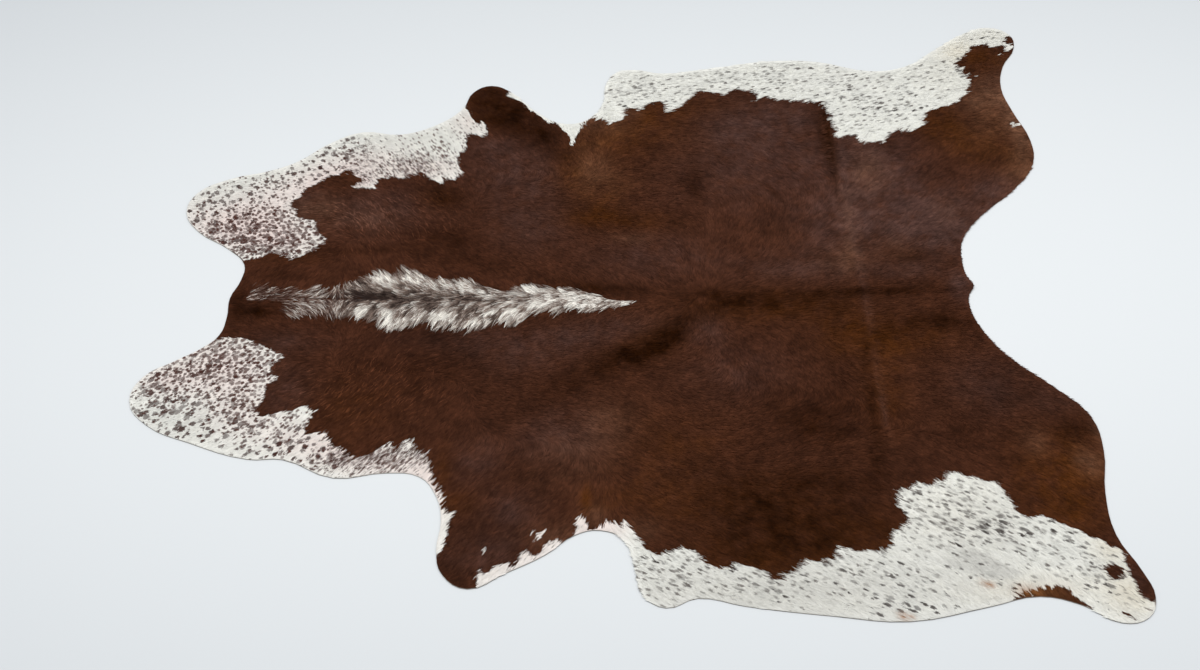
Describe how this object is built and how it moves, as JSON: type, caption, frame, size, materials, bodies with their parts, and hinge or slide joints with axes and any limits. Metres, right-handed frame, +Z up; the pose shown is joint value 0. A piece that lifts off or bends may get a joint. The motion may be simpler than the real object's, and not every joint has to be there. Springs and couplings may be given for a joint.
{
  "type": "cowhide rug",
  "caption": "Whole hair-on cowhide laid flat as a rug, with its natural leg and shoulder lobes, brown coat, pale flanks and a band of long hair along the back.",
  "frame": {"origin": "on the floor, under the middle of the rug's bounding box", "axes": "+X along the back from the neck end to the tail end, +Y to the far side, +Z up out of the hair side"},
  "size_m": [2.296, 1.9902, 0.0134],
  "materials": {
    "hide": "matte hair-on leather, short flat coat"
  },
  "bodies": {
    "root": {"hide": "hide"}
  },
  "joints": []
}
